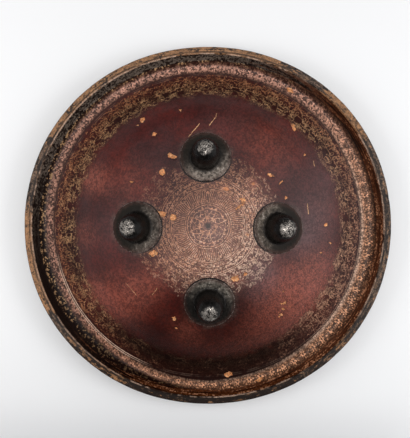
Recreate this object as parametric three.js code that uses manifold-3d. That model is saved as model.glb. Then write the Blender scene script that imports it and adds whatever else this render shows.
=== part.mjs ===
// A round shield of lacquered hide, lying face up: a shallow crown that falls away to a trough and
// turns up again to a thick cut lip, with four hollow iron bosses riveted through it over round
// washers on the back. Millimetres, +Z up out of the face. The origin is on the surface that the
// shield lies on, below the middle of the crown.
import * as THREE from 'three';
import { mergeVertices } from 'three/addons/utils/BufferGeometryUtils.js';
import Module from 'manifold-3d';

const wasm = await Module();
wasm.setup();

// Hide
const rimRadius = 223; // mean radius of the lip's outer edge
const ovalShare = 0.0127; // the hand-shaped rim is this much wider across than its mean
const squareShare = 0.0035; // and this much fuller towards its four corners
const hideThickness = 6.5;
const apexHeight = 76; // top of the crown above the surface it lies on
const crownRadius = 335; // the crown is part of a ball of this radius
const crownMargin = 10; // how far the round crown runs on past the outermost boss
const rimReach = 22; // from the middle of the trough out to the lip's outer edge
const lipHeight = 24; // the lip above the surface it lies on
const lipLean = THREE.MathUtils.degToRad(55); // how steeply the rim stands at the lip
const footWidth = 8; // flat ring pressed into the underside, on which the shield lies

// Bosses, each beaten up from iron with a shank that runs back through the hide
const flangeRadius = 29.8;
const flangeThickness = 1.8;
const domeRadius = 17;
const domeHeight = 33; // top of the dome above the hide
const domeFullness = 2.8; // 2 is a plain half egg, and more is blunter
const domeWall = 2;
const domeFillet = 2.6; // where the dome runs out into the flange
const shankRadius = 1.8;
const headRadius = 4; // shank's clenched end
const headHeight = 2.2;
const washerRadius = 10;
const washerThickness = 1.6;
const seatGap = 0.3; // between pieces that rest on each other
const shankClearance = 0.3; // round the shank, in the hide and in the washer

// The bosses were set out by eye: each has its turn in degrees from +X, and its share of the circle.
const bossCircle = 83; // from the middle of the crown to a boss
const bossPlaces = [
  { name: 'top', turn: 92.1, share: 0.964 },
  { name: 'right', turn: -2, share: 0.984 },
  { name: 'bottom', turn: -88.9, share: 1.081 },
  { name: 'left', turn: 181.2, share: 0.992 },
];

// Facets
const hideSides = 64;
const bossSides = 20;
const holeSides = 16;
const crownSteps = 7;
const flankSteps = 7;
const rimSteps = 4;
const domeSteps = 6;
const hollowSteps = 4;

const outermostBoss = bossCircle * Math.max(...bossPlaces.map((place) => place.share));
const crownReach = outermostBoss + flangeRadius + crownMargin;
const troughRadius = rimRadius - rimReach;
const lipWidth = hideThickness / Math.sin(lipLean); // the hide is cut level at the lip

const hideMaterial = new THREE.MeshStandardMaterial({ color: 0x4a1a14, roughness: 0.35 });
const ironMaterial = new THREE.MeshStandardMaterial({ color: 0x34332f, roughness: 0.5, metalness: 0.9 });
const washerMaterial = new THREE.MeshStandardMaterial({ color: 0x3b342d, roughness: 0.7, metalness: 0.8 });

// How far a ball of this radius has dropped at a distance from its top.
function ballDrop(radius, distance) {
  return radius - Math.sqrt(radius ** 2 - distance ** 2);
}

// The painted face from the middle out to the lip, as points with the direction that faces up.
function hideFace() {
  const face = [];
  for (let i = 0; i <= crownSteps; i++) {
    const angle = (Math.asin(crownReach / crownRadius) * i) / crownSteps;
    const up = new THREE.Vector2(Math.sin(angle), Math.cos(angle));
    const centre = new THREE.Vector2(0, apexHeight - crownRadius);
    face.push({ point: up.clone().multiplyScalar(crownRadius).add(centre), up });
  }
  const crownEnd = face.at(-1);
  const trough = new THREE.Vector2(troughRadius, hideThickness);
  const lipInner = new THREE.Vector2(rimRadius - lipWidth, lipHeight);
  const flankSpan = troughRadius - crownReach;
  const rimSpan = lipInner.x - troughRadius;
  const level = new THREE.Vector2(1, 0);
  const downFlank = new THREE.Vector2(crownEnd.up.y, -crownEnd.up.x);
  const upRim = new THREE.Vector2(Math.cos(lipLean), Math.sin(lipLean));
  const flank = new THREE.CubicBezierCurve(
    crownEnd.point,
    crownEnd.point.clone().addScaledVector(downFlank, flankSpan * 0.4),
    trough.clone().addScaledVector(level, -flankSpan * 0.35),
    trough,
  );
  const rim = new THREE.CubicBezierCurve(
    trough,
    trough.clone().addScaledVector(level, rimSpan * 0.45),
    lipInner.clone().addScaledVector(upRim, -rimSpan * 0.6),
    lipInner,
  );
  for (const [curve, steps] of [[flank, flankSteps], [rim, rimSteps]]) {
    for (let i = 1; i <= steps; i++) {
      const along = curve.getTangent(i / steps);
      face.push({ point: curve.getPoint(i / steps), up: new THREE.Vector2(-along.y, along.x) });
    }
  }
  return face;
}

// The hide's whole section: out over the face, across the lip and back under, with its foot flat.
function hideSection() {
  const face = hideFace();
  const under = face.map(({ point, up }) => point.clone().addScaledVector(up, -hideThickness));
  const foot = [troughRadius + footWidth / 2, troughRadius - footWidth / 2];
  const back = under.filter((p) => p.x > foot[0] || p.x < foot[1]).reverse();
  const firstInside = back.findIndex((p) => p.x < foot[1]);
  back.splice(firstInside, 0, ...foot.map((radius) => new THREE.Vector2(radius, 0)));
  back.at(-1).x = 0;
  return [...face.map(({ point }) => point), new THREE.Vector2(rimRadius, lipHeight), ...back];
}

// A turned solid that stands on Z, from a section that runs from the top of its axis down.
function turned(section, sides) {
  return new THREE.LatheGeometry([...section].reverse(), sides).rotateX(Math.PI / 2);
}

// The rim was shaped by hand: it is a little wider across than up, and a little square.
function outOfRound(geometry) {
  const place = geometry.getAttribute('position');
  for (let i = 0; i < place.count; i++) {
    const x = place.getX(i);
    const y = place.getY(i);
    const turn = Math.atan2(y, x);
    const share = THREE.MathUtils.smoothstep(Math.hypot(x, y), crownReach, rimRadius);
    const grown = 1 + share * (ovalShare * Math.cos(2 * turn) - squareShare * Math.cos(4 * turn));
    place.setXY(i, x * grown, y * grown);
  }
  return geometry;
}

// A closed geometry as a solid that can be cut.
function solidOf(geometry) {
  const bare = geometry.clone().deleteAttribute('normal').deleteAttribute('uv');
  const merged = mergeVertices(bare, 1e-4);
  return new wasm.Manifold(new wasm.Mesh({
    numProp: 3,
    vertProperties: merged.getAttribute('position').array,
    triVerts: new Uint32Array(merged.index.array),
  }));
}

function geometryOf(solid) {
  const { vertProperties, triVerts } = solid.getMesh();
  const geometry = new THREE.BufferGeometry();
  geometry.setAttribute('position', new THREE.BufferAttribute(vertProperties, 3));
  geometry.setIndex(new THREE.BufferAttribute(triVerts, 1));
  return geometry;
}

// Stands a group on the crown, square to the hide's face, at a boss's place.
function stoodOnCrown(place) {
  const reach = bossCircle * place.share;
  const turn = THREE.MathUtils.degToRad(place.turn);
  const height = Math.sqrt(crownRadius ** 2 - reach ** 2);
  const fromCentre = new THREE.Vector3(reach * Math.cos(turn), reach * Math.sin(turn), height);
  const group = new THREE.Group();
  group.position.copy(fromCentre).add(new THREE.Vector3(0, 0, apexHeight - crownRadius));
  group.quaternion.setFromUnitVectors(new THREE.Vector3(0, 0, 1), fromCentre.normalize());
  group.updateMatrix();
  return group;
}

function makeHide(stands) {
  let solid = solidOf(outOfRound(turned(hideSection(), hideSides)));
  const holeRadius = shankRadius + shankClearance;
  for (const stand of stands) {
    const hole = new THREE.CylinderGeometry(holeRadius, holeRadius, hideThickness * 4, holeSides);
    solid = solid.subtract(solidOf(hole.rotateX(Math.PI / 2).applyMatrix4(stand.matrix)));
  }
  const hide = new THREE.Mesh(geometryOf(solid), hideMaterial);
  hide.name = 'hide_shell';
  return hide;
}

// The level of the washer's two faces and of the clenched head, along a boss's own axis.
const washerTop = -hideThickness - ballDrop(crownRadius - hideThickness, washerRadius) - seatGap;
const washerBottom = washerTop - washerThickness;
const headTop = washerBottom - seatGap;

// A blunt dome's radius and height at an angle up from its base.
function domePoint(radius, height, angle) {
  const power = 2 / domeFullness;
  return new THREE.Vector2(radius * Math.cos(angle) ** power, height * Math.sin(angle) ** power);
}

// A boss and its shank in section: dome, flange that follows the crown, hollow, shank and head.
function bossSection() {
  const seat = (radius) => seatGap - ballDrop(crownRadius, radius);
  const hollowRadius = domeRadius - domeWall;
  const filletEnd = domeRadius + domeFillet;
  const flangeTop = (radius) => seat(radius) + flangeThickness;
  const section = [new THREE.Vector2(0, domeHeight)];
  for (let i = 1; i <= domeSteps; i++) {
    const angle = (Math.PI / 2) * (1 - i / (domeSteps + 1));
    section.push(domePoint(domeRadius, domeHeight, angle));
  }
  section.push(
    new THREE.Vector2(domeRadius + domeFillet * 0.1, flangeTop(domeRadius) + domeFillet),
    new THREE.Vector2(domeRadius + domeFillet * 0.35, flangeTop(domeRadius) + domeFillet * 0.3),
    new THREE.Vector2(filletEnd, flangeTop(filletEnd)),
    new THREE.Vector2(flangeRadius, flangeTop(flangeRadius)),
    new THREE.Vector2(flangeRadius, seat(flangeRadius)),
    new THREE.Vector2(hollowRadius, seat(hollowRadius)),
  );
  for (let i = 1; i <= hollowSteps; i++) {
    const angle = (Math.PI / 2) * (i / (hollowSteps + 1));
    section.push(domePoint(hollowRadius, domeHeight - domeWall, angle));
  }
  const shankTop = (domeHeight - domeWall)
    * (1 - (shankRadius / hollowRadius) ** domeFullness) ** (1 / domeFullness);
  section.push(
    new THREE.Vector2(shankRadius, shankTop),
    new THREE.Vector2(shankRadius, headTop),
    new THREE.Vector2(headRadius, headTop),
    new THREE.Vector2(headRadius, headTop - headHeight),
    new THREE.Vector2(0, headTop - headHeight),
  );
  return section;
}

function makeBoss(place) {
  const boss = new THREE.Mesh(turned(bossSection(), bossSides), ironMaterial);
  boss.name = `boss_${place.name}`;
  return boss;
}

function makeWasher(place) {
  const holeRadius = shankRadius + shankClearance;
  const section = [
    [holeRadius, washerTop],
    [washerRadius, washerTop],
    [washerRadius, washerBottom],
    [holeRadius, washerBottom],
    [holeRadius, washerTop],
  ].map(([radius, height]) => new THREE.Vector2(radius, height));
  const washer = new THREE.Mesh(turned(section, bossSides), washerMaterial);
  washer.name = `washer_${place.name}`;
  return washer;
}

const shield = new THREE.Group();
const stands = bossPlaces.map(stoodOnCrown);
bossPlaces.forEach((place, i) => {
  stands[i].add(makeBoss(place), makeWasher(place));
});
shield.add(makeHide(stands), ...stands);

export default shield;
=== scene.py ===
import math

import bpy
import numpy as np
from mathutils import Matrix, Vector, noise


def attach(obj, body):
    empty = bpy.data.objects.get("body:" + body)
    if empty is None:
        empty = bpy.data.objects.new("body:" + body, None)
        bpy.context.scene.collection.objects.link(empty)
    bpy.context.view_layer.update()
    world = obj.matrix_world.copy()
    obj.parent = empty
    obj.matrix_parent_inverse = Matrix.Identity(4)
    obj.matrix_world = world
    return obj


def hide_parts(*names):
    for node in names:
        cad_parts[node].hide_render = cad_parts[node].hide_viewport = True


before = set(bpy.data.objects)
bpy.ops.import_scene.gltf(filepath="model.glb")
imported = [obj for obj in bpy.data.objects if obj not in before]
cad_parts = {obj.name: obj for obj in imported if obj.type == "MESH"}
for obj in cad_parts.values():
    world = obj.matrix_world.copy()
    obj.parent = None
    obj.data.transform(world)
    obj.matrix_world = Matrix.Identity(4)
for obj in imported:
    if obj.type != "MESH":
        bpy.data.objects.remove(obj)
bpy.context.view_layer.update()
print("frame loaded:", len(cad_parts), "nodes")

mm = 0.001  # sizes below are in mm, and everything is built in metres


# Colours are given as seen on screen, 0 to 255
def paint(*seen):
    colour = []
    for value in seen:
        share = value / 255
        colour.append(share / 12.92 if value < 11 else ((share + 0.055) / 1.055) ** 2.4)
    return (*colour, 1)


# Numbers that vary over a surface. They add and multiply like plain numbers, and each sum is a node
class Reading:
    def __init__(self, tree, out):
        self.tree = tree
        self.out = out

    def sum(self, kind, *others):
        return maths(self.tree, kind, self, *others)

    def __add__(self, other):
        return self.sum("ADD", other)

    def __radd__(self, other):
        return self.sum("ADD", other)

    def __sub__(self, other):
        return self.sum("SUBTRACT", other)

    def __rsub__(self, other):
        return maths(self.tree, "SUBTRACT", other, self)

    def __mul__(self, other):
        return self.sum("MULTIPLY", other)

    def __rmul__(self, other):
        return self.sum("MULTIPLY", other)

    def __truediv__(self, other):
        return self.sum("DIVIDE", other)

    def __neg__(self):
        return self.sum("MULTIPLY", -1)


def plug(value, socket):
    if isinstance(value, Reading):
        value.tree.links.new(value.out, socket)
    else:
        socket.default_value = value


def maths(tree, kind, *values):
    node = tree.nodes.new("ShaderNodeMath")
    node.operation = kind
    for value, socket in zip(values, node.inputs):
        plug(value, socket)
    return Reading(tree, node.outputs[0])


def size(a):
    # how big, whatever its sign
    return a.sum("ABSOLUTE")


def wave(a):
    return a.sum("SINE")


def larger(first, *rest):
    for other in rest:
        first = first.sum("MAXIMUM", other)
    return first


def smaller(a, b):
    return a.sum("MINIMUM", b)


def ramp(a, low, high):
    # 0 up to low, 1 from high and smooth between them
    node = a.tree.nodes.new("ShaderNodeMapRange")
    node.interpolation_type = "SMOOTHSTEP"
    plug(a, node.inputs[0])
    plug(low, node.inputs[1])
    plug(high, node.inputs[2])
    return Reading(a.tree, node.outputs[0])


def fall(a, low, high):
    return 1 - ramp(a, low, high)


def stroke(away, width, soft=0.35):
    # a drawn line where away is near 0, in mm
    return fall(size(away), width / 2 - soft / 2, width / 2 + soft / 2)


def between(a, low, high, soft=0.5):
    return ramp(a, low - soft / 2, low + soft / 2) * fall(a, high - soft / 2, high + soft / 2)


def saw(a):
    # -0.5 to 0.5, over and over
    return a.sum("FRACT") - 0.5


def vector(x, y, z=0.0):
    node = x.tree.nodes.new("ShaderNodeCombineXYZ")
    for value, socket in zip((x, y, z), node.inputs):
        plug(value, socket)
    return Reading(x.tree, node.outputs[0])


def parts(a):
    node = a.tree.nodes.new("ShaderNodeSeparateXYZ")
    plug(a, node.inputs[0])
    return [Reading(a.tree, out) for out in node.outputs]


def clouds(place, grain, detail=2.0, rough=0.5, shift=0.0):
    # soft noise about 0 to 1, grain is the size of its lumps in mm
    node = place.tree.nodes.new("ShaderNodeTexNoise")
    node.noise_dimensions = "4D"
    plug(place, node.inputs["Vector"])
    node.inputs["W"].default_value = shift
    node.inputs["Scale"].default_value = 1 / grain
    node.inputs["Detail"].default_value = detail
    node.inputs["Roughness"].default_value = rough
    return Reading(place.tree, node.outputs[0])


def cells(place, grain, feature="F1", out="Distance"):
    # cells grain mm across: mm to their middles or edges as a share of grain, or a colour for each
    node = place.tree.nodes.new("ShaderNodeTexVoronoi")
    node.feature = feature
    plug(place, node.inputs["Vector"])
    node.inputs["Scale"].default_value = 1 / grain
    return Reading(place.tree, node.outputs[out])


def coloured(amount, under, over):
    node = amount.tree.nodes.new("ShaderNodeMix")
    node.data_type = "RGBA"
    plug(amount, node.inputs[0])
    plug(under, node.inputs[6])
    plug(over, node.inputs[7])
    return Reading(amount.tree, node.outputs[2])


def newMaterial(name):
    material = bpy.data.materials.new(name)
    material.use_nodes = True
    return material, material.node_tree, material.node_tree.nodes["Principled BSDF"]


def placeInMm(tree):
    coords = tree.nodes.new("ShaderNodeTexCoord")
    node = tree.nodes.new("ShaderNodeVectorMath")
    node.operation = "SCALE"
    tree.links.new(coords.outputs["Object"], node.inputs[0])
    node.inputs["Scale"].default_value = 1 / mm
    return Reading(tree, node.outputs[0])


def stored(tree, name):
    node = tree.nodes.new("ShaderNodeAttribute")
    node.attribute_type = "GEOMETRY"
    node.attribute_name = name
    return Reading(tree, node.outputs["Fac"])


def ownPlace(tree, shift=(0, 0, 0)):
    node = tree.nodes.new("ShaderNodeAttribute")
    node.attribute_type = "GEOMETRY"
    node.attribute_name = "ownPlace"
    moved = tree.nodes.new("ShaderNodeVectorMath")
    moved.operation = "ADD"
    tree.links.new(node.outputs["Vector"], moved.inputs[0])
    moved.inputs[1].default_value = shift
    return Reading(tree, moved.outputs[0])


def raised(shader, height):
    # height in mm, as bump on the shader
    bump = height.tree.nodes.new("ShaderNodeBump")
    bump.inputs["Strength"].default_value = 1
    bump.inputs["Distance"].default_value = mm
    plug(height, bump.inputs["Height"])
    height.tree.links.new(bump.outputs["Normal"], shader.inputs["Normal"])


def newPiece(name, points, faces):
    mesh = bpy.data.meshes.new(name)
    mesh.from_pydata((points * mm).tolist(), [], faces)
    mesh.polygons.foreach_set("use_smooth", [True] * len(faces))
    piece = bpy.data.objects.new(name, mesh)
    bpy.context.scene.collection.objects.link(piece)
    return piece


def bridge(first, second, sides):
    # faces between two rings of points, from the number of each ring's first point
    here = np.arange(sides)
    after = (here + 1) % sides
    return np.stack([first + here, second + here, second + after, first + after], 1).tolist()


def turnedPiece(name, top, rings, bottom):
    # rings of points from a top pole down to a bottom pole
    steps, sides, _ = rings.shape
    points = np.vstack([[top], rings.reshape(-1, 3), [bottom]])
    here = np.arange(sides)
    after = (here + 1) % sides
    faces = [[0, 1 + a, 1 + b] for a, b in zip(here, after)]
    for i in range(steps - 1):
        faces += bridge(1 + i * sides, 1 + (i + 1) * sides, sides)
    last, end = 1 + (steps - 1) * sides, len(points) - 1
    faces += [[last + a, end, last + b] for a, b in zip(here, after)]
    return newPiece(name, points, faces)


def storeOn(piece, name, values):
    layer = piece.data.attributes.new(name, "FLOAT", "POINT")
    layer.data.foreach_set("value", np.asarray(values, np.float32))


def moveMesh(piece, matrix):
    # keeps where each point was before the move, in mm, for the material
    own = np.zeros(len(piece.data.vertices) * 3, np.float32)
    piece.data.vertices.foreach_get("co", own)
    layer = piece.data.attributes.new("ownPlace", "FLOAT_VECTOR", "POINT")
    layer.data.foreach_set("vector", own / mm)
    piece.data.transform(matrix)


def unevenness(points, grain, seed):
    # -1 to 1 at each point, in lumps of grain mm
    step = Vector((seed * 17.3, seed * 5.1, seed * 9.7))
    values = [noise.noise(Vector(point) / grain + step) for point in points.reshape(-1, 3)]
    return np.array(values).reshape(points.shape[:-1])


# The hide
hide = {
    "rimRadius": 223,
    "ovalShare": 0.0127,
    "squareShare": 0.0035,
    "thickness": 6.5,
    "apexHeight": 76,
    "crownRadius": 335,
    "crownReach": 129.5,
    "rimReach": 22,
    "lipHeight": 24,
    "lipLean": math.radians(55),
    "footWidth": 8,
    "flankHandles": (0.4, 0.35),  # how far the curve holds its way at each end
    "rimHandles": (0.45, 0.6),
    "sides": 400,
    "crownSteps": 56,
    "flankSteps": 46,
    "rimSteps": 22,
    "edgeRound": 0.7,  # worn corners of the lip
    "lipWaver": 0.8,  # the lip was cut by hand
    "nickAt": math.radians(8.5),
    "nickWidth": 0.012,
    "nickDepth": 1.6,
    "waver": 0.22,  # slow unevenness of the face
    "fineWaver": 0.1,
    "chipDepth": 0.45,
    "chipEdge": 1.2,
    "grooveAt": 208.8,  # scored line below the rim's wall
    "grooveDepth": 0.5,
    "grooveWidth": 0.9,
}

# Bosses: turn from +X in degrees, and distance from the middle in mm
bossPlaces = {
    "top": (92.1, 80.0),
    "right": (-2.0, 81.7),
    "bottom": (-88.9, 89.7),
    "left": (181.2, 82.3),
}

# Lost flakes of lacquer: across, up, half length, half width in mm, lean in degrees
flakes = [
    (-53, 62, 4.6, 3.4, 80), (-42, 81, 5.2, 2.2, -25), (-64, 108, 3, 2.4, 20),
    (-79, 127, 3.2, 2.6, 70), (-84.5, 120.6, 1.6, 1, 0), (-33, 138, 2, 1.4, 90),
    (-89, 51, 3, 1.4, 15), (-55, 14, 6, 2.6, -18), (-40, 9.5, 4.4, 4, 50), (-63, -32, 4.6, 3.2, 20),
    (-40, -110, 2.4, 3.2, 60), (-38, -121, 1.4, 1.9, 80), (40, 30, 2.6, 5, 75),
    (36, 22, 1.2, 4.4, 130), (43, -56, 3, 2.4, 20), (31, -61.5, 3, 4.4, 85),
    (72.5, 59.3, 5, 2, -22), (85, 50, 2.4, 1.2, 25), (91, 32.5, 2, 2.4, 0),
    (104.6, 119.6, 2.2, 4.4, 20), (103, 169, 3.2, 5, 50), (25.6, -186.5, 5, 3.4, 20),
    (64, -192.6, 4.4, 2.8, 20), (141.4, 0.3, 2.8, 2, 0), (147.5, -21.4, 1.6, 2.2, 80),
    (134.6, -32.3, 1, 1, 0), (91, -91.6, 3.4, 1.6, 30), (86, -93, 1.2, 1.2, 0),
    (89.7, -99, 1.4, 2.4, 70), (87, -106.4, 1.4, 2.6, 75), (89.4, -78, 1.2, 1, 0),
    (116, 84.3, 1.3, 1.2, 0), (106, -1, 2.2, 1.4, 30), (84, -108.8, 1, 1, 0),
]

# Lacquer rubbed through to a warmer coat: across, up, radius and strength
rubs = [
    (98, -98, 60, 0.85), (60, -130, 40, 0.35), (134, -52, 40, 0.4), (-27, -124, 24, 0.6),
    (-8, -142, 30, 0.3), (-140, 55, 24, 0.6), (-147, -82, 24, 0.5), (-100, -90, 50, 0.6),
    (-62, -66, 30, 0.35), (-148, -10, 26, 0.4), (72, 92, 55, 0.4), (-92, 52, 46, 0.35),
    (142, 22, 30, 0.25), (30, -150, 30, 0.3), (10, 140, 50, 0.15), (20.6, 42, 7, 1.35),
    (45, -10.6, 6, 1.3), (33, -60, 8, 1.3), (41, 26, 8, 1.3), (52, 48, 6, 1.2),
]

# Painted sheen: grey and purple patches where the lacquer would reflect the bright room: across, up,
# radius and strength
sheenPatches = [
    (66, -70, 30, 1.15), (54, -46, 22, 0.8), (125, 8, 34, 0.6), (112, -22, 26, 0.5),
    (20, 112, 40, 0.2), (86, 62, 30, 0.2), (-118, -6, 34, 0.18), (-60, 92, 44, 0.15),
    (118, -70, 20, 0.4), (150, -60, 30, 0.35), (-84, -74, 24, 0.2), (150, 60, 40, 0.4),
    (100, -128, 26, 0.4),
]
noFlake = 9.0  # mm to the nearest flake or boss where there is none near
noBoss = 99.0


def bezier(points, steps):
    u = np.linspace(0, 1, steps + 1)[1:, None]
    a, b, c, d = [np.asarray(p, float) for p in points]
    place = (1 - u) ** 3 * a + 3 * (1 - u) ** 2 * u * b + 3 * (1 - u) * u * u * c + u ** 3 * d
    along = 3 * (1 - u) ** 2 * (b - a) + 6 * (1 - u) * u * (c - b) + 3 * u * u * (d - c)
    along /= np.linalg.norm(along, axis=1)[:, None]
    return place, np.stack([-along[:, 1], along[:, 0]], 1)


def hideProfile():
    # the face from the middle out to the lip's inner corner: radius and height, with the way up
    reach, ball = hide["crownReach"], hide["crownRadius"]
    angles = math.asin(reach / ball) * np.arange(1, hide["crownSteps"] + 1) / hide["crownSteps"]
    up = np.stack([np.sin(angles), np.cos(angles)], 1)
    crown = up * ball + [0, hide["apexHeight"] - ball]
    trough = np.array([hide["rimRadius"] - hide["rimReach"], hide["thickness"]])
    lean = hide["lipLean"]
    corner = np.array([hide["rimRadius"] - hide["thickness"] / math.sin(lean), hide["lipHeight"]])
    flankSpan, rimSpan = trough[0] - reach, corner[0] - trough[0]
    downFlank = np.array([up[-1][1], -up[-1][0]])
    upRim = np.array([math.cos(lean), math.sin(lean)])
    level = np.array([1.0, 0.0])
    start, end = hide["flankHandles"]
    flank, flankUp = bezier(
        [crown[-1], crown[-1] + downFlank * flankSpan * start, trough - level * flankSpan * end, trough],
        hide["flankSteps"],
    )
    start, end = hide["rimHandles"]
    rim, rimUp = bezier(
        [trough, trough + level * rimSpan * start, corner - upRim * rimSpan * end, corner],
        hide["rimSteps"],
    )
    return np.vstack([crown, flank, rim]), np.vstack([up, flankUp, rimUp])


def lipProfile(corner):
    # across the cut lip, with both corners worn round
    worn, outer, top = hide["edgeRound"], hide["rimRadius"], hide["lipHeight"]
    middle = (corner[0] + outer) / 2
    return np.array([
        [corner[0] + worn * 0.35, top - worn * 0.1],
        [corner[0] + worn * 1.1, top],
        [middle - 1.3, top],
        [middle + 1.3, top],
        [outer - worn * 1.2, top],
        [outer - worn * 0.35, top - worn * 0.2],
        [outer, top - worn],
    ])


def backProfile(face, up):
    back = face - up * hide["thickness"]
    trough, half = hide["rimRadius"] - hide["rimReach"], hide["footWidth"] / 2
    outside = back[back[:, 0] > trough + half][::-1][1:]
    inside = back[back[:, 0] < trough - half][::-1]
    foot = np.array([[trough + half, 0], [trough, 0], [trough - half, 0]])
    return np.vstack([outside[::2], foot, inside[::3]])


def outOfRound(radius, turn):
    share = np.clip((radius - hide["crownReach"]) / (hide["rimRadius"] - hide["crownReach"]), 0, 1)
    share = share * share * (3 - 2 * share)
    return 1 + share * (hide["ovalShare"] * np.cos(2 * turn) - hide["squareShare"] * np.cos(4 * turn))


def awayFromFlakes(x, y):
    # mm to the nearest lost flake, below 0 inside it
    away = np.full(x.shape, noFlake)
    for number, (across, up, long, wide, lean) in enumerate(flakes):
        power = 3.5 if number % 2 else 1.25  # squarish and pointed ones by turns
        c, s = math.cos(math.radians(lean)), math.sin(math.radians(lean))
        u = ((x - across) * c + (y - up) * s) / long
        v = (-(x - across) * s + (y - up) * c) / wide
        cornered = (np.abs(u) ** power + np.abs(v) ** power) ** (1 / power)
        away = np.minimum(away, (cornered - 1) * min(long, wide))
    return away


def awayFromBosses(x, y):
    away = np.full(x.shape, noBoss)
    for turn, reach in bossPlaces.values():
        lean = math.asin(reach / hide["crownRadius"])
        c, s = math.cos(math.radians(turn)), math.sin(math.radians(turn))
        u, v = x * c + y * s - reach, -x * s + y * c
        away = np.minimum(away, np.hypot(u / math.cos(lean), v))
    return away


def patches(places, x, y):
    # soft round patches, added up
    amount = np.zeros(x.shape)
    for across, up, reach, strength in places:
        amount += strength * np.exp(-((x - across) ** 2 + (y - up) ** 2) / reach ** 2 * 1.4)
    return amount


def buildHide():
    face, up = hideProfile()
    lip = lipProfile(face[-1])
    face[-1] -= np.array([math.cos(hide["lipLean"]), math.sin(hide["lipLean"])]) * hide["edgeRound"]
    back = backProfile(face, up)
    section = np.vstack([face, lip, back])
    ways = np.vstack([up, np.tile([0.0, 1.0], (len(lip), 1)), np.tile([0.0, 0.0], (len(back), 1))])
    turn = np.linspace(-math.pi, math.pi, hide["sides"], endpoint=False)
    radius = np.repeat(section[:, :1], hide["sides"], 1)
    height = np.repeat(section[:, 1:], hide["sides"], 1)
    grown = outOfRound(radius, turn)
    x, y = radius * grown * np.cos(turn), radius * grown * np.sin(turn)
    # lost flakes, the scored line and slow unevenness go along the way up
    flat = np.stack([x, y, height], -1)
    away = awayFromFlakes(x, y)
    dip = hide["chipDepth"] * np.clip(0.5 - away / hide["chipEdge"], 0, 1)
    dip += hide["grooveDepth"] * np.exp(-((radius - hide["grooveAt"]) / hide["grooveWidth"]) ** 2)
    dip += hide["waver"] * (1 + unevenness(flat, 38, 3)) + hide["fineWaver"] * (1 + unevenness(flat, 9, 5))
    isFace = np.arange(len(section)) < len(face)
    dip = dip * isFace[:, None]
    lift = ways[:, None, :] * -dip[..., None]
    x += lift[..., 0] * np.cos(turn)
    y += lift[..., 0] * np.sin(turn)
    height = height + lift[..., 1]
    # the lip's own waver: lower and further in, never out of its size
    rim = hide["rimRadius"]
    edge = np.clip((radius - (rim - 18)) / 12, 0, 1) * np.clip((height - 8) / 16, 0, 1)
    ring = np.stack([np.cos(turn), np.sin(turn), turn * 0], -1) * rim
    cut = unevenness(ring, 60, 11) * 0.5 + 0.5 + 0.25 * (unevenness(ring, 14, 13) + 1)
    nick = np.exp(-((turn - hide["nickAt"]) / hide["nickWidth"]) ** 2) * hide["nickDepth"]
    height -= edge * (hide["lipWaver"] * cut + nick * (radius > rim - 4))
    shrink = 1 - edge * hide["lipWaver"] * 0.8 * cut[None, ::-1] / rim
    x *= shrink
    y *= shrink
    rings = np.stack([x, y, height], -1)
    top = [0, 0, hide["apexHeight"] - hide["waver"]]
    bottom = [0, 0, hide["apexHeight"] - hide["thickness"]]
    piece = turnedPiece("hide", top, rings, bottom)

    def withPoles(values, atPole=0):
        return np.concatenate([[atPole], values.reshape(-1), [atPole]])

    storeOn(piece, "ringRadius", withPoles(radius))
    storeOn(piece, "flake", withPoles(away, noFlake))
    storeOn(piece, "seat", withPoles(awayFromBosses(x, y), noBoss))
    storeOn(piece, "rubbed", withPoles(patches(rubs, x, y)))
    storeOn(piece, "paintedSheen", withPoles(patches(sheenPatches, x, y)))
    lipRub = np.zeros(x.shape)
    for middle, half, strength in lipWear:
        off = (np.degrees(turn) - middle + 180) % 360 - 180
        lipRub = np.maximum(lipRub, strength * np.clip((half - np.abs(off)) / 5 + 0.5, 0, 1))
    storeOn(piece, "lipRub", withPoles(lipRub))
    band = ornament["gilt"]
    for name, limits in zip(("giltFrom", "giltTo"), zip(*band.values())):
        limit = np.interp(np.degrees(turn), list(band), limits, period=360)
        storeOn(piece, name, withPoles(np.tile(limit, (len(radius), 1))))
    # the second material begins where the lip ends
    slots = np.zeros(len(piece.data.polygons), np.int32)
    slots[(len(face) + len(lip)) * hide["sides"]:] = 1
    piece.data.polygons.foreach_set("material_index", slots)
    piece.data.materials.append(lacquerMaterial())
    piece.data.materials.append(bareHideMaterial())
    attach(piece, "root")
    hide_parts("hide_shell")
    print("hide:", len(piece.data.vertices), "points")


# The painter's pattern on the face. Radii in mm, counts go round the shield
ornament = {
    "rings": (24.0, 26.3, 42.2, 44.2, 55.4, 57.4),
    "rosette": 8,
    "fans": 16,
    "fanStrokes": 84,
    # scrollwork: motifs, where they are drawn true, curl, line, shift, turns, pull outwards
    "curls": (8, 15, 3.6, 0.7, 71, 3.0, 0.2),
    "filling": (16, 38, 4.0, 0.8, 62, 3.6, 0.3),
    "scrolls": (26, 50, 4.6, 0.85, 73, 4.0, 0.12),
    "arabesques": (34, 68, 4.4, 0.8, 64, 3.4, 0.06),
    "leaves": (62, 176, 7, 0.55, 65, 3, 0),
    "arabesqueEnd": 84,
    "foliage": (161, 190.5),
    # gilt band, drawn by hand: inner and outer edge by turn in degrees
    "gilt": {
        0: (189.5, 207.5),
        45: (189.5, 208.5),
        90: (191.5, 208.0),
        135: (193.5, 207.0),
        180: (190.0, 203.5),
        225: (187.5, 200.0),
        270: (196.5, 209.0),
        315: (190.0, 211.5),
    },
    "giltMiddle": 198,
    "paleLines": (189.4, 191.6),
    "flowers": 84,
    "wallFrom": 207.5,
    "lipFrom": 213.8,
}
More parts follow.
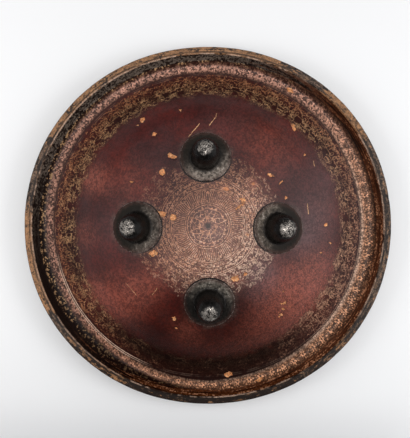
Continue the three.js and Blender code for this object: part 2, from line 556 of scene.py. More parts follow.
lacquerTones = {
    "deep": paint(58, 14, 10),
    "red": paint(92, 27, 19),
    "plum": paint(62, 30, 30),
    "sheenGrey": paint(104, 80, 82),
    "warm": paint(156, 84, 68),
    "black": paint(18, 8, 6),
    "nearBlack": paint(34, 7, 4),
    "blood": paint(70, 19, 13),
    "medallionGround": paint(122, 84, 74),
    "medallionShade": paint(50, 31, 29),
    "gold": paint(196, 138, 108),
    "paleGold": paint(236, 200, 176),
    "leafOrange": paint(214, 138, 94),
    "leafCream": paint(236, 186, 136),
    "leafPink": paint(220, 170, 146),
    "giltGround": paint(58, 28, 19),
    "giltGoldSheen": paint(216, 158, 134),
    "giltHighlight": paint(250, 180, 136),
    "giltShade": paint(34, 13, 9),
    "wallBrown": paint(92, 48, 25),
    "flake": paint(216, 138, 86),
    "flakeLight": paint(240, 184, 134),
    "lipTan": paint(166, 120, 82),
    "lipGrey": paint(120, 96, 79),
    "lipBlack": paint(32, 22, 17),
    "grime": paint(38, 33, 27),
    "patina": paint(112, 100, 90),
}

# Where the lip's edge is rubbed down to tan hide: turn and half width in degrees, strength
lipWear = [
    (192, 17, 1), (226, 8, 0.35), (108, 44, 0.8), (67, 9, 0.5), (39, 10, 1), (-40, 7, 0.3),
    (-128, 9, 0.4),
]

# Scratches: from across, up to across, up, and width
scratches = [
    (-10, 120.3, -22.6, 103.9, 0.8),
    (8.5, 128, 1.5, 118, 0.7),
    (10.5, 133, 9, 127, 0.6),
    (117.2, 26, 118.4, 13.5, 1.0),
    (127.0, 78, 127.8, 71, 0.8),
    (-59.3, -72.5, -65.4, -81, 0.45),
    (-96, -68, -84, -82, 0.35),
]


def tracery(radius, circle, count, middle, grain, width, shift, dense, outwards):
    # it repeats round the shield, and each motif is mirrored in its own middle
    across = size(saw(circle * count)) * (math.tau * middle / count)
    field = clouds(vector(across, radius), grain, 1, 0.5, shift)
    return stroke(saw(field * dense - radius * outwards) * (2 * grain / dense), width)


def medallionStrokes(radius, turn, spot, limit):
    o = ornament
    circle = turn / math.tau
    inner, innerOut, middle, middleOut, outer, outerOut = o["rings"]
    drawn = larger(*[stroke(radius - ring, 1.0) for ring in o["rings"]])
    # rosette in the middle
    lean = radius.sum("LOGARITHM", math.e)
    lobes = saw(circle * o["rosette"] + lean * 0.35) * radius * (math.tau / o["rosette"])
    curls = tracery(radius, circle + lean * 0.06, *o["curls"])
    petals = stroke(size(lobes) - wave(radius / 23 * math.pi) * 3.4, 0.7)
    rosette = larger(curls * between(radius, 4.5, inner - 1), petals * between(radius, 5, inner - 1.2))
    # fans of bent strokes, under a scalloped edge
    fan = saw(circle * o["fans"])
    spread = (radius - innerOut) / 16
    bent = circle * o["fanStrokes"] + fan * spread * 2.2 + spread * spread * 0.9
    blades = saw(bent) * radius * (math.tau / o["fanStrokes"])
    tip = middle - 1.6 - fan * fan * 18
    fans = stroke(blades, 1.15, 0.5) * between(radius, innerOut + 1.2, tip)
    fans = larger(fans, stroke(radius - tip - 0.5, 0.9) * between(radius, 31, middle - 0.8))
    fans = larger(fans, tracery(radius, circle, *o["filling"]) * between(radius, tip + 1, middle - 0.8))
    # a running scroll, and scrollwork outside it that ends raggedly
    scroll = tracery(radius, circle, *o["scrolls"]) * between(radius, middleOut + 0.8, outer - 0.8)
    outside = larger(
        tracery(radius, circle, *o["arabesques"]),
        stroke(saw(clouds(spot, 6, 2, 0.6, 68) * 3.6) * 3.4, 0.8),
    )
    return larger(drawn, rosette, fans, scroll, outside * between(radius, outerOut + 0.6, limit))


def foliageStrokes(radius, turn, spot):
    # loose curling threads, over a row of small mirrored leaves
    high = ornament["foliage"][1]
    drawn = larger(
        stroke(saw(clouds(spot, 13, 3, 0.6, 66) * 4.4) * 6.0, 0.75),
        stroke(saw(clouds(spot, 8, 3, 0.6, 67) * 2.8) * 6.0, 0.6),
        tracery(radius, turn / math.tau, *ornament["leaves"]),
    )
    return drawn * fall(radius, high - 0.6, high + 0.6)


def giltDrawing(spot, radius, turn, across):
    # dark drawing on the gilt band: flowers, leaves between them, and a rough net
    count = ornament["flowers"]
    u = saw(turn / math.tau * count) * (math.tau * ornament["giltMiddle"] / count)
    v = (across - 0.5) * 13
    reach = (u * u + v * v).sum("SQRT")
    petal = reach - 3.6 - wave(v.sum("ARCTAN2", u) * 6) * 0.9
    flower = larger(stroke(petal, 1.1), fall(reach, 0.7, 1.4))
    net = cells(spot, 3.4, "DISTANCE_TO_EDGE")
    veins = fall(net, 0.12, 0.26) * ramp(petal, 0.2, 0.8)
    return larger(flower, veins * 0.9)


def scratchMarks(x, y, wobble):
    drawn = None
    for fromX, fromY, toX, toY, width in scratches:
        length = math.hypot(toX - fromX, toY - fromY)
        c, s = (toX - fromX) / length, (toY - fromY) / length
        along = (x - fromX) * c + (y - fromY) * s
        aside = (y - fromY) * c - (x - fromX) * s + wobble
        mark = stroke(aside, width) * between(along, 0, length, 1.5)
        drawn = mark if drawn is None else larger(drawn, mark)
    return drawn


def lacquerMaterial():
    material, tree, shader = newMaterial("lacquered hide")
    tone = lacquerTones
    o = ornament
    spot = placeInMm(tree)
    x, y, z = parts(spot)
    flatSpot = vector(x, y)
    trueRadius = stored(tree, "ringRadius")
    trueTurn = y.sum("ARCTAN2", x)
    flake, seat = stored(tree, "flake"), stored(tree, "seat")
    rubbed, paintedSheen = stored(tree, "rubbed"), stored(tree, "paintedSheen")

    # a hand-drawn line is never quite where it should be
    driftA = clouds(flatSpot, 18, 3, 0.6, 1.5) - 0.5
    driftB = clouds(flatSpot, 18, 3, 0.6, 7.5) - 0.5
    radius = trueRadius + driftA * 2.6
    turn = trueTurn + driftB * 3.0 / (trueRadius + 6)

    broad = clouds(spot, 60, 3, 0.55, 2.0)
    lumps = clouds(spot, 14, 3, 0.6, 3.0)
    flecks = clouds(spot, 5, 3, 0.6, 9.0)
    fine = clouds(spot, 2.2, 3, 0.65, 4.0)
    grain = parts(cells(spot, 1.25, out="Color"))[0]
    coarse = parts(cells(spot, 1.9, out="Color"))[1]
    lowerRight = ramp(x * 0.72 - y * 0.69, -60, 190)
    upperLeft = ramp(y * 0.66 - x * 0.75, -40, 150)
    below = ramp(-y / (trueRadius + 20), 0.5, 0.88)  # painted shade: darker towards the lower side, where the near side's light is blocked

    # plain lacquer
    colour = coloured(ramp(broad, 0.35, 0.68), tone["deep"], tone["red"])
    colour = coloured(ramp(lumps + upperLeft * 0.15, 0.5, 0.8) * 0.4, colour, tone["plum"])
    # painted sheen: the lacquer greyed and purpled in patches, standing in for reflection
    colour = coloured(paintedSheen * (0.5 + flecks * 0.7), colour, tone["sheenGrey"])
    mottle = ramp(flecks + (fine - 0.5) * 0.5, 0.4, 0.62)
    colour = coloured(mottle * 0.3, colour, tone["plum"])
    warm = ramp(rubbed * (0.6 + lumps * 0.6 + (0.5 - flecks) * 0.8 + (coarse - 0.5) * 0.25), 0.05, 0.85)
    colour = coloured(warm * 0.8, colour, tone["warm"])
    # painted shade: the lower side darkened towards near black
    colour = coloured(below * (0.4 + lumps * 0.5), colour, tone["nearBlack"])

    # bed under the foliage, blood red towards the gilding
    low, high = o["foliage"]
    ragged = radius + (lumps - 0.5) * 16 + (flecks - 0.5) * 8
    # painted shade: the dark bed grows darker still towards the bottom
    bed = ramp(ragged, low - 8, low + 12) * (0.34 + lumps * 0.5 + below * 0.4)
    colour = coloured(smaller(bed, 1), colour, tone["black"])
    blood = ramp(ragged, low + 6, high - 2) * (0.3 + ramp(-x, -90, 110) * 0.4) * (1 - below * 0.7)
    colour = coloured(blood, colour, tone["blood"])

    # medallion: darker on the upper left, from worn gilding and painted shade; it reaches further to the
    # lower right, where it is paler as a painted highlight
    limit = o["arabesqueEnd"] + (lumps - 0.5) * 26 + (flecks - 0.5) * 10
    inMedallion = fall(trueRadius + (lumps - 0.5) * 30 + (flecks - 0.5) * 10 - lowerRight * 8, 46, 92)
    wornAndShadedGold = ramp(y * 0.75 - x * 0.66 + (lumps - 0.5) * 50, -10, 62)
    ground = coloured(wornAndShadedGold, tone["medallionGround"], tone["medallionShade"])
    colour = coloured(inMedallion * (0.9 - wornAndShadedGold * 0.25), colour, ground)
    outwards = ramp(trueRadius + (lumps - 0.5) * 16, 54, 88)
    hold = flecks + (lumps - 0.5) * 1.2 + (grain - 0.5) * 0.25 - wornAndShadedGold * 0.1 - outwards * 0.08
    hold = ramp(hold + 0.1, 0.34, 0.56)
    scroll = medallionStrokes(radius, turn, spot, limit) * (0.25 - outwards * 0.2 + 0.75 * hold)
    scroll = scroll * (1 - wornAndShadedGold * 0.5) * (1 - outwards * 0.45)
    scroll = scroll * ramp(seat, 30.2, 31.2) * fall(trueRadius, 92, 98)
    # painted highlight: the gold lines turn pale towards the lower right
    shine = ramp(grain * 0.5 + lumps - 0.5 + lowerRight * 1.3, 0.3, 1.1)
    colour = coloured(scroll, colour, coloured(shine, tone["gold"], tone["paleGold"]))
    orange = ramp(rubbed + (flecks - 0.5) * 1.2, 1.0, 1.25)
    colour = coloured(orange * 0.6, colour, tone["flake"])
    spotMask = fall(trueRadius + (fine - 0.5) * 3, 2.4, 3.6)
    colour = coloured(spotMask * 0.75, colour, tone["grime"])

    # foliage band, fainter towards the bottom, under the painted shade there
    leafHold = ramp(clouds(spot, 16, 3, 0.65, 11.0) + (grain - 0.5) * 0.2 - below * 0.2, 0.36, 0.5)
    foliage = foliageStrokes(radius, turn, spot) * ramp(ragged, low - 4, low + 5)
    foliage = foliage * (0.12 + leafHold * 0.88) * (0.5 + 0.5 * ramp(flecks, 0.4, 0.6))
    foliage = foliage * (1 - below * 0.7) * (0.72 + lowerRight * 0.2)
    outermost = ramp(ragged + (grain - 0.5) * 24, 168, 194)
    leafColour = coloured(outermost, tone["leafCream"], tone["leafOrange"])
    leafColour = coloured(lowerRight * 0.7, leafColour, tone["leafPink"])
    colour = coloured(foliage * 0.85, colour, leafColour)

    # gilt band: a painted highlight along its inner part over the gilding, then dark drawing on gold,
    # blackened outside
    giltFrom = stored(tree, "giltFrom")
    giltTo = stored(tree, "giltTo")
    uneven = trueRadius + driftA * 2 + (coarse - 0.5) * 2.6 + (flecks - 0.5) * 4
    gilt = ramp(uneven, giltFrom - 1.6, giltFrom + 1.6)
    lost = ramp(uneven + (lumps - 0.5) * 3, giltTo - 2.6, giltTo + 1.0)
    across = (trueRadius + driftA * 2 - giltFrom) / (giltTo - giltFrom)
    drawing = giltDrawing(vector(x + driftA * 4, y + driftB * 4), radius, turn, across)
    drawing = drawing * ramp(across + (flecks - 0.5) * 0.5, 0.12, 0.4) * (0.35 + lowerRight * 0.55)
    # painted highlight: a band of sheen across the gilding, where the trough's floor faces up, broken by
    # grain and strongest to the lower right
    highlightBand = ramp(across, 0.0, 0.42 - lowerRight * 0.3) * fall(across, 0.4 + lowerRight * 0.3, 1.1)
    gildingAndHighlight = highlightBand * (0.12 + lowerRight * 0.4 + ramp(coarse * 0.6 + fine * 0.8, 0.52, 0.86) * 0.95)
    giltMiddle = coloured(lowerRight, tone["giltGoldSheen"], tone["giltHighlight"])
    # painted highlight: the band's inner edge turns pale on the lower right
    giltMiddle = coloured(fall(across, 0.1, 0.4) * lowerRight * 0.8, giltMiddle, tone["paleGold"])
    giltColour = coloured(smaller(gildingAndHighlight, 1), tone["giltGround"], giltMiddle)
    giltColour = coloured(drawing, giltColour, tone["giltShade"])
    # painted shade: the band's inner part darkened towards the bottom
    giltColour = coloured(below * fall(across, 0.1, 0.6) * 0.7, giltColour, tone["giltShade"])
    giltColour = coloured(lost * 0.94, giltColour, tone["black"])
    specks = ramp(coarse + (flecks - 0.5) * 0.9, 0.66, 0.92) * (0.1 + upperLeft * 0.5)
    giltColour = coloured(specks * lost, giltColour, tone["leafCream"])
    colour = coloured(gilt, colour, giltColour)
    lowerLeft = ramp((-x * 0.77 - y * 0.64) / (trueRadius + 1), 0.86, 0.97)
    rightSide = ramp((x * 0.95 - y * 0.3) / (trueRadius + 1), 0.75, 0.95)
    pale = larger(*[stroke(trueRadius + driftA * 1.2 - ring, 0.95) for ring in o["paleLines"]])
    pale = pale * smaller(lowerLeft + rightSide * 0.2 + 0.1 * ramp(lumps, 0.4, 0.6), 1)
    colour = coloured(pale, colour, tone["paleGold"])

    # rim's wall: brown-black with lengthwise stripes; browner to the lower right and blacker to the upper
    # left, as painted light and shade
    wall = ramp(radius, o["wallFrom"] - 0.4, o["wallFrom"] + 0.6)
    stripes = clouds(vector(trueTurn * 4, trueRadius * 0.6 + z * 0.12 + driftA), 1.1, 3, 0.6, 15.0)
    wallBrown = ramp(stripes + lowerRight * 0.12 - ramp(y * 0.3 - x * 0.8, -40, 160) * 0.24, 0.46, 0.58)
    wallColour = coloured(wallBrown * 0.95, tone["black"], tone["wallBrown"])
    wallSpecks = ramp(coarse * 0.5 + stripes, 0.62, 0.86) * upperLeft * ramp(y, -80, 120) * 0.9
    wallColour = coloured(smaller(wallSpecks, 1), wallColour, tone["patina"])
    # painted gleam: a warm highlight on the wall's lower right
    gleam = ramp(stripes + (coarse - 0.5) * 0.3, 0.58, 0.68) * lowerRight * 0.45
    wallColour = coloured(gleam, wallColour, tone["giltHighlight"])
    colour = coloured(wall, colour, wallColour)

    # cut lip: a pale inner corner, part wear and part painted highlight, a dark channel, then the edge,
    # tan where it is rubbed through
    lipSpot = vector(x * 0.3, y * 0.3, trueRadius)
    streaks = clouds(lipSpot, 2.6, 4, 0.62, 17.0)
    fromLip = trueRadius + (fine - 0.5) * 0.8 - o["lipFrom"]
    onLip = ramp(fromLip, -0.2, 0.2)
    greyed = ramp(streaks + (fine - 0.5) * 0.6 - below * 0.12, 0.42, 0.6)
    lipColour = coloured(greyed, tone["lipBlack"], tone["lipGrey"])
    rubbedLip = streaks + (flecks - 0.5) * 0.3 + stored(tree, "lipRub") * 0.28 + lowerRight * 0.04
    rubbedLip = ramp(rubbedLip, 0.61, 0.7) * (0.55 + 0.45 * ramp(fine, 0.35, 0.55))
    lipColour = coloured(rubbedLip, lipColour, tone["lipTan"])
    channel = between(fromLip, 2.0, 3.8, 0.8) * ramp(clouds(lipSpot, 4, 2, 0.5, 18.0), 0.36, 0.5)
    lipColour = coloured(channel * 0.75, lipColour, tone["lipBlack"])
    diagonal = size(x * x - y * y) / (trueRadius * trueRadius + 1)
    rightCorners = fall(diagonal, 0.25, 0.6) * ramp(x, 40, 90)
    corner = fall(fromLip, 1.1, 1.7) * ramp(clouds(spot, 16, 3, 0.6, 19.0), 0.42, 0.54)
    corner = corner * (1 - rightCorners) * (1 - lowerLeft * 0.5)
    lipColour = coloured(corner * 0.7, lipColour, tone["paleGold"])
    lipColour = coloured(ramp(fromLip, 8.4, 9.0) * 0.7, lipColour, tone["lipBlack"])
    lipSpots = ramp(clouds(spot, 4.2, 3, 0.6, 20.0), 0.56, 0.62)
    lipColour = coloured(lipSpots * 0.75, lipColour, tone["lipBlack"])
    colour = coloured(onLip, colour, lipColour)

    # scratches, and lost flakes that show the hide's tan under-coat
    marks = scratchMarks(x, y, (fine - 0.5) * 1.6 + driftA * 3)
    marks = marks * ramp(flecks + (fine - 0.5) * 0.5, 0.34, 0.5)
    colour = coloured(marks * 0.8, colour, tone["flakeLight"])
    torn = flake + (flecks - 0.5) * 3.4 + (fine - 0.5) * 4.4
    gone = fall(torn, -0.15, 0.15)
    flakeColour = coloured(ramp(fine, 0.42, 0.66), tone["flake"], tone["flakeLight"])
    colour = coloured(gone, colour, flakeColour)
    colour = coloured(stroke(torn - 0.35, 0.4, 0.2) * 0.6, colour, tone["black"])

    # patina round the bosses, and a black ring at each flange's edge, part dirt and part painted contact
    # shadow
    patina = fall(seat + (flecks - 0.5) * 6, 30, 37) * ramp(lumps, 0.35, 0.7) * 0.3
    colour = coloured(patina, colour, tone["patina"])
    inward = fall(trueRadius, 64, 92)
    dirtAndShadow = between(seat + (fine - 0.5) * 1.0, 28.0, 30.3 + inward * 0.9, 0.5) * (0.35 + 0.65 * inward)
    colour = coloured(dirtAndShadow, colour, tone["black"])

    # fine crazing in the lacquer
    net = cells(spot, 2.4, "DISTANCE_TO_EDGE")
    brittle = clouds(spot, 26, 3, 0.6, 21.0) + inMedallion * 0.1 + bed * 0.2 + lowerRight * 0.2
    crazed = fall(net, 0.02, 0.1) * ramp(brittle, 0.4, 0.65)
    colour = coloured(crazed * (0.4 + lowerRight * 0.2), colour, tone["black"])

    # the hide's own pebbled grain, then how it shines
    pebbled = ramp(clouds(spot, 2.6, 4, 0.75, 22.0) + (coarse - 0.5) * 0.24, 0.4, 0.58)
    colour = coloured((1 - pebbled) * 0.4, colour, tone["black"])
    plug(colour, shader.inputs["Base Color"])
    metal = larger(scroll * 0.4, foliage * 0.35, gilt * (1 - lost) * (1 - wall) * 0.25) * (1 - gone)
    plug(metal * (1 - onLip), shader.inputs["Metallic"])
    worn = larger(inMedallion * 0.5, smaller(bed, 1) * 0.6, gilt)
    blackened = lost * (1 - onLip)
    gloss = 0.33 + (fine - 0.5) * 0.14 + gone * 0.4 + onLip * 0.22 + blackened * 0.12
    plug(gloss, shader.inputs["Roughness"])
    plug(0.4 - blackened * 0.26 - below * 0.16, shader.inputs["Specular IOR Level"])
    shader.inputs["Coat Weight"].default_value = 0.05
    shader.inputs["Coat Roughness"].default_value = 0.2
    relief = foliage * 0.07 + scroll * 0.07 - crazed * 0.07 - gone * 0.18 - marks * 0.08
    relief = relief - channel * onLip * 0.25 - drawing * gilt * 0.06 + stripes * wall * 0.1
    relief = relief + (fine - 0.5) * (0.1 + worn * 0.12) + (grain - 0.5) * worn * 0.05
    raised(shader, relief)
    return material


bareHide = {"dark": paint(38, 28, 22), "light": paint(84, 62, 46), "worn": paint(150, 112, 74)}


def bareHideMaterial():
    material, tree, shader = newMaterial("bare hide back")
    spot = placeInMm(tree)
    radius = stored(tree, "ringRadius")
    broad = clouds(spot, 40, 3, 0.55, 31)
    grain = clouds(spot, 1.6, 3, 0.6, 32)
    pores = cells(spot, 1.3, "DISTANCE_TO_EDGE")
    colour = coloured(ramp(broad, 0.3, 0.75), bareHide["dark"], bareHide["light"])
    colour = coloured(fall(pores, 0.02, 0.12) * 0.5, colour, bareHide["dark"])
    _, _, z = parts(spot)
    worn = ramp(z + (broad - 0.5) * 8 + (grain - 0.5) * 6, 20.5, 23.5) * ramp(radius, 205, 215)
    colour = coloured(worn * 0.7, colour, bareHide["worn"])
    plug(colour, shader.inputs["Base Color"])
    plug(0.52 + (grain - 0.5) * 0.3, shader.inputs["Roughness"])
    raised(shader, (grain - 0.5) * 0.22 + ramp(pores, 0, 0.2) * 0.08)
    return material


# Bosses
boss = {
    "flangeRadius": 29.8,
    "flangeThickness": 1.8,
    "domeRadius": 17,
    "domeHeight": 33,
    "domeFullness": 2.8,
    "domeWall": 2,
    "fillet": 2.6,
    "shankRadius": 1.8,
    "headRadius": 4,
    "headHeight": 2.2,
    "seatGap": 0.3,
    "sides": 246,
    "notches": 82,
    "notchDepth": 1.0,
    "domeSteps": 26,
    "hammered": 0.4,
    "pitting": 0.16,
}
washer = {"radius": 10, "thickness": 1.6, "bore": 2.1, "bevel": 0.35, "sides": 72}

# Each boss differs: the flange's painted lit and shaded tones, and the turn of its painted lit side in
# degrees
bossLooks = {
    "top": {"seed": 1, "light": paint(164, 150, 138), "dark": paint(40, 34, 29), "litToward": -75},
    "right": {"seed": 2, "light": paint(116, 104, 92), "dark": paint(33, 28, 24), "litToward": 170},
    "bottom": {"seed": 3, "light": paint(116, 108, 98), "dark": paint(31, 27, 24), "litToward": 80},
    "left": {"seed": 4, "light": paint(124, 112, 102), "dark": paint(34, 29, 24), "litToward": -15},
}
ironTones = {
    "black": paint(14, 12, 11),
    "bare": paint(214, 204, 194),
    "rust": paint(86, 62, 44),
    "lacquer": paint(66, 40, 33),
}


def ballDrop(radius, distance):
    return radius - np.sqrt(radius ** 2 - np.asarray(distance, float) ** 2)


def washerTop():
    # the washer's edge meets the hollow back first
    hollow = hide["crownRadius"] - hide["thickness"]
    return -hide["thickness"] - ballDrop(hollow, washer["radius"]) - boss["seatGap"]


def bossProfile():
    b = boss
    power = 2 / b["domeFullness"]

    def seat(radius):
        return b["seatGap"] - ballDrop(hide["crownRadius"], radius)

    def topAt(radius):
        return seat(radius) + b["flangeThickness"]

    def bulge(radius, height, angles):
        return np.stack([radius * np.cos(angles) ** power, height * np.sin(angles) ** power], 1)

    angles = math.pi / 2 * (1 - np.arange(1, b["domeSteps"] + 1) / (b["domeSteps"] + 1))
    dome = bulge(b["domeRadius"], b["domeHeight"], angles)
    filletEnd = b["domeRadius"] + b["fillet"]
    foot = dome[dome[:, 1] > topAt(b["domeRadius"]) + b["fillet"]]
    bend = np.linspace(0, math.pi / 2, 9)
    fillet = np.stack([
        filletEnd - b["fillet"] * np.cos(bend) * 0.95,
        topAt(filletEnd) + b["fillet"] * (1 - np.sin(bend)),
    ], 1)
    across = np.linspace(filletEnd + 0.8, b["flangeRadius"] - 0.5, 8)
    flange = np.stack([across, topAt(across)], 1)
    edge = np.array([
        [b["flangeRadius"] - 0.15, topAt(b["flangeRadius"]) - 0.12],
        [b["flangeRadius"], topAt(b["flangeRadius"]) - 0.5],
        [b["flangeRadius"], seat(b["flangeRadius"])],
    ])
    hollow = b["domeRadius"] - b["domeWall"]
    under = np.array([[(b["flangeRadius"] + hollow) / 2, 0], [hollow, 0]])
    under[:, 1] = seat(under[:, 0])
    inner = np.linspace(0, math.pi / 2, 12)[1:-1]
    inside = bulge(hollow, b["domeHeight"] - b["domeWall"], inner)
    inside = inside[inside[:, 0] > b["shankRadius"] + 0.5]
    headTop = washerTop() - washer["thickness"] - b["seatGap"]
    headEnd = headTop - b["headHeight"]
    shank = np.array([
        [b["shankRadius"], inside[-1][1] + 0.6],
        [b["shankRadius"], headTop],
        [b["headRadius"] - 0.3, headTop],
        [b["headRadius"], headTop - 0.4],
        [b["headRadius"] - 0.1, headTop - b["headHeight"] * 0.6],
        [b["headRadius"] * 0.8, headEnd + 0.12],
        [b["headRadius"] * 0.4, headEnd],
    ])
    section = np.vstack([foot, fillet, flange, edge, under, inside, shank])
    return section, len(foot) + len(fillet) + len(flange), headEnd


def standOnCrown(name):
    turn, reach = bossPlaces[name]
    turn = math.radians(turn)
    height = math.sqrt(hide["crownRadius"] ** 2 - reach ** 2)
    out = Vector((reach * math.cos(turn), reach * math.sin(turn), height))
    base = (out + Vector((0, 0, hide["apexHeight"] - hide["crownRadius"]))) * mm
    way = Vector((0, 0, 1)).rotation_difference(out.normalized())
    return Matrix.Translation(base) @ way.to_matrix().to_4x4()


def buildBoss(name):
    look = bossLooks[name]
    section, edgeAt, headEnd = bossProfile()
    turn = np.linspace(0, math.tau, boss["sides"], endpoint=False)
    radius = np.repeat(section[:, :1], boss["sides"], 1)
    height = np.repeat(section[:, 1:], boss["sides"], 1)
    # filed notches round the flange's edge
    atEdge = (np.arange(len(section)) >= edgeAt) & (np.arange(len(section)) < edgeAt + 3)
    notch = np.clip(np.cos(turn * boss["notches"]) * 1.4 - 0.4, 0, 1) * boss["notchDepth"]
    radius = radius - atEdge[:, None] * notch
    points = np.stack([radius * np.cos(turn), radius * np.sin(turn), height], -1)
    # hammer marks and pits, always inwards
    outside = np.arange(len(section)) < edgeAt - 1
    dent = boss["hammered"] * (0.5 + 0.5 * unevenness(points, 7, look["seed"]))
    dent += boss["pitting"] * (0.5 + 0.5 * unevenness(points, 1.3, look["seed"] + 20))
    dent = dent * outside[:, None]
    onDome = np.clip((height - 4) / 6, 0, 1)
    shrink = 1 - dent * onDome / np.maximum(radius, 6)
    points[..., 0] *= shrink
    points[..., 1] *= shrink
    points[..., 2] -= dent * (1 - onDome * 0.6)
    top = [0, 0, boss["domeHeight"] - boss["hammered"] * 0.5]
    piece = turnedPiece("boss_iron_" + name, top, points, [0, 0, headEnd])
    moveMesh(piece, standOnCrown(name))
    piece.data.materials.append(ironMaterial("iron boss " + name, look))
    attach(piece, "root")
    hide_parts("boss_" + name)


def ironMaterial(name, look):
    material, tree, shader = newMaterial(name)
    spot = ownPlace(tree, (look["seed"] * 71, look["seed"] * 37, 0))
    x, y, z = parts(ownPlace(tree))
    radius = (x * x + y * y).sum("SQRT")
    broad = clouds(spot, 11, 3, 0.6, 41)
    lumps = clouds(spot, 3.4, 3, 0.6, 42)
    fine = clouds(spot, 0.9, 3, 0.65, 43)
    pit = cells(spot, 1.7)
    litToward = math.radians(look["litToward"])
    # painted light: the flange is lit on one side and shaded on the other
    paintedLitSide = ramp((x * math.cos(litToward) + y * math.sin(litToward)) / 24 + (broad - 0.5) * 1.2, -0.3, 1.0)
    lit = smaller(paintedLitSide * (0.1 + ramp(lumps, 0.3, 0.7) * 0.9), 1)
    flange = coloured(lit, look["dark"], look["light"])
    flange = coloured(ramp(lumps, 0.6, 0.8) * 0.3, flange, ironTones["rust"])
    # painted glints on the lit side
    glints = ramp(fine + (lumps - 0.5) * 0.8, 0.58, 0.72) * paintedLitSide
    flange = coloured(glints * 0.6, flange, ironTones["bare"])
    flange = coloured(fall(fine + (lumps - 0.5) * 0.6, 0.3, 0.44) * 0.6, flange, ironTones["black"])
    # black in the fillet and up the dome; its crown rubbed bare and painted pale as a highlight
    up = ramp(z + (broad - 0.5) * 3, 1.6, 4.2)
    nearDome = fall(radius + (broad - 0.5) * 2.5, 17.5, 22)
    onDome = larger(up, nearDome * 0.85)
    bareAndHighlight = ramp(z + (broad - 0.5) * 5 + (lumps - 0.5) * 6 + (fine - 0.5) * 3, 30.0, 33.4)
    bareAndHighlight = bareAndHighlight * ramp(pit, 0.1, 0.3) * ramp(lumps + (fine - 0.5) * 1.6, 0.38, 0.66)
    dome = coloured(bareAndHighlight * 0.95, ironTones["black"], ironTones["bare"])
    colour = coloured(onDome, flange, dome)
    stained = ramp(radius + (lumps - 0.5) * 9, 24, 30) * 0.6
    colour = coloured(stained, colour, ironTones["lacquer"])
    edge = ramp(radius + (fine - 0.5) * 0.8, 28.7, 29.5)
    colour = coloured(edge * ramp(lumps, 0.45, 0.55) * 0.22, colour, ironTones["bare"])
    plug(colour, shader.inputs["Base Color"])
    metal = smaller(onDome * bareAndHighlight * 0.7 + 0.5 - onDome * 0.3, 1) - stained * 0.5
    plug(metal, shader.inputs["Metallic"])
    plug(0.44 - onDome * 0.29 + (fine - 0.5) * 0.1 + (lumps - 0.5) * 0.15, shader.inputs["Roughness"])
    plug(0.3 - onDome * 0.06 + bareAndHighlight * onDome * 0.2, shader.inputs["Specular IOR Level"])
    pitted = fall(pit, 0.1, 0.45) * ramp(lumps, 0.4, 0.6) * 0.4
    raised(shader, (fine - 0.5) * 0.07 + (lumps - 0.5) * 0.9 - pitted)
    return material


def buildWasher(name):
    w = washer
    top, bevel = washerTop(), w["bevel"]
    low = top - w["thickness"]
    section = np.array([
        [w["bore"], top],
        [w["radius"] - bevel, top],
        [w["radius"], top - bevel],
        [w["radius"], low + bevel],
        [w["radius"] - bevel, low],
        [w["radius"] * 0.6, low],
        [w["bore"] + bevel, low],
        [w["bore"], low + bevel],
    ])
    turn = np.linspace(0, math.tau, w["sides"], endpoint=False)
    rings = np.stack([
        section[:, :1] * np.cos(turn),
        section[:, :1] * np.sin(turn),
        np.repeat(section[:, 1:], w["sides"], 1),
    ], -1)
    faces = []
    for i in range(len(section)):
        faces += bridge(i * w["sides"], (i + 1) % len(section) * w["sides"], w["sides"])
    piece = newPiece("washer_iron_" + name, rings.reshape(-1, 3), faces)
    moveMesh(piece, standOnCrown(name))
    piece.data.materials.append(washerMaterial())
    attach(piece, "root")
    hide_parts("washer_" + name)


def washerMaterial():
    material = bpy.data.materials.get("rusted washer")
    if material:
        return material
    material, tree, shader = newMaterial("rusted washer")
    spot = placeInMm(tree)
    broad = clouds(spot, 4, 3, 0.6, 51)
    fine = clouds(spot, 0.7, 3, 0.6, 52)
    colour = coloured(ramp(broad, 0.35, 0.7), paint(58, 52, 46), paint(104, 72, 48))
    colour = coloured(ramp(fine, 0.55, 0.7) * 0.5, colour, paint(36, 30, 26))
    plug(colour, shader.inputs["Base Color"])
    shader.inputs["Metallic"].default_value = 0.7
    plug(0.6 + (fine - 0.5) * 0.4, shader.inputs["Roughness"])
    raised(shader, (fine - 0.5) * 0.3 + (broad - 0.5) * 0.4)
    return material


buildHide()
for bossName in bossPlaces:
    buildBoss(bossName)
    buildWasher(bossName)
print("bosses and washers done")

# Camera, straight above, as the photo was taken
camera = {"across": -3.5, "up": 7.8, "height": 800, "lens": 52.1, "sensor": 36}


def buildCamera():
    data = bpy.data.cameras.new("camera")
    data.sensor_fit = "VERTICAL"
    data.sensor_height = camera["sensor"]
    data.lens = camera["lens"]
    data.clip_start = 0.01
    eye = bpy.data.objects.new("camera", data)
    eye.location = (camera["across"] * mm, camera["up"] * mm, camera["height"] * mm)
    bpy.context.scene.collection.objects.link(eye)
    bpy.context.scene.camera = eye


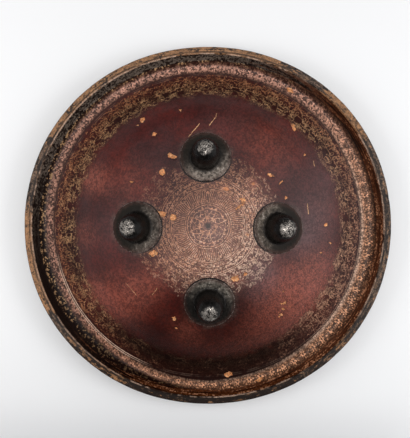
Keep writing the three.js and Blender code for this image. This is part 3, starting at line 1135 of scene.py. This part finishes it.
studio = {
    "floor": paint(237, 237, 238),
    "floorSize": 12.0,
    "floorDrop": 0.0004,  # just clear of the ring that the shield rests on
    "backdrop": 0.8,
    # name: place, width and depth in metres, power, colour
    "lights": {
        "ceiling lamp": ((0.1, -0.12, 1.9), 0.26, 0.26, 4.2, (1, 0.98, 0.96)),
        "window": ((1.1, 0.3, 1.4), 1.2, 1.2, 0.9, (0.98, 0.99, 1)),
        "left fill": ((-1.1, -0.05, 0.7), 0.8, 0.8, 8.2, (1, 1, 1)),
        "right fill": ((1.15, -0.1, 0.7), 0.8, 0.8, 8.8, (0.98, 0.99, 1)),
    },
    # the room's own glow, by where it comes from
    "overhead": 1.01,
    "leftWall": 0.42,
    "rightWall": 0.98,
    "nearSide": 0.05,
    "farSide": 0.1,
    # a dark card over the near side, where whoever takes the photo leans in: middle and size in metres
    "flag": ((-0.09, -0.51, 0.34), (0.64, 0.58)),
    "flagCloth": paint(46, 44, 44),
}


def areaLight(name, place, wide, deep, power, warmth):
    data = bpy.data.lights.new(name, "AREA")
    data.shape = "RECTANGLE"
    data.size, data.size_y = wide, deep
    data.energy = power
    data.color = warmth
    lamp = bpy.data.objects.new(name, data)
    lamp.location = place
    lamp.visible_glossy = "fill" not in name  # a fill only softens the shadows
    lamp.rotation_euler = (Vector((0, 0, 0.03)) - Vector(place)).to_track_quat("-Z", "Y").to_euler()
    bpy.context.scene.collection.objects.link(lamp)


def card(name, middle, wide, deep, cover, colour, roughness):
    across, back, up = middle
    corners = [(-1, -1), (1, -1), (1, 1), (-1, 1)]
    points = [(across + wide / 2 * u, back + deep / 2 * v, up) for u, v in corners]
    mesh = bpy.data.meshes.new(name)
    mesh.from_pydata(points, [], [(0, 1, 2, 3)])
    material, _, shader = newMaterial(cover)
    shader.inputs["Base Color"].default_value = colour
    shader.inputs["Roughness"].default_value = roughness
    mesh.materials.append(material)
    flat = bpy.data.objects.new(name, mesh)
    bpy.context.scene.collection.objects.link(flat)
    return flat


def buildStudio():
    s = studio
    floor = card("floor", (0, 0, 0), s["floorSize"], s["floorSize"], "floor paper", s["floor"], 0.85)
    floor.location.z = -s["floorDrop"]
    for name, facts in s["lights"].items():
        areaLight(name, *facts)
    middle, (wide, deep) = s["flag"]
    flag = card("flag", middle, wide, deep, "flag cloth", s["flagCloth"], 0.9)
    flag.visible_camera = False

    # the room: bright above and to the right, dark on the near side, pale where the camera sees it
    world = bpy.data.worlds.new("room")
    bpy.context.scene.world = world
    world.use_nodes = True
    tree = world.node_tree
    background = tree.nodes["Background"]
    coords = tree.nodes.new("ShaderNodeTexCoord")
    right, away, up = parts(Reading(tree, coords.outputs["Generated"]))
    rays = tree.nodes.new("ShaderNodeLightPath")
    seen = Reading(tree, rays.outputs["Is Camera Ray"])
    walls = s["leftWall"] + ramp(right, -0.7, 0.75) * (s["rightWall"] - s["leftWall"])
    level = (right * right + away * away).sum("SQRT")
    figure = ramp(-away / (level + 0.01), 0.3, 0.9) * ramp(level, 0.3, 0.6)
    far = ramp(away / (level + 0.01), 0.3, 0.9) * ramp(level, 0.3, 0.6)
    walls = walls * (1 - far * (1 - s["farSide"]))
    glow = walls + ramp(up, 0.5, 0.98) * (s["overhead"] - walls)
    glow = glow * (1 - figure) + figure * s["nearSide"]
    plug(glow * (1 - seen) + seen * s["backdrop"], background.inputs["Strength"])
    background.inputs["Color"].default_value = (0.99, 0.995, 1, 1)
    bpy.context.scene.view_settings.view_transform = "Standard"


buildCamera()
buildStudio()
print("camera and studio done")
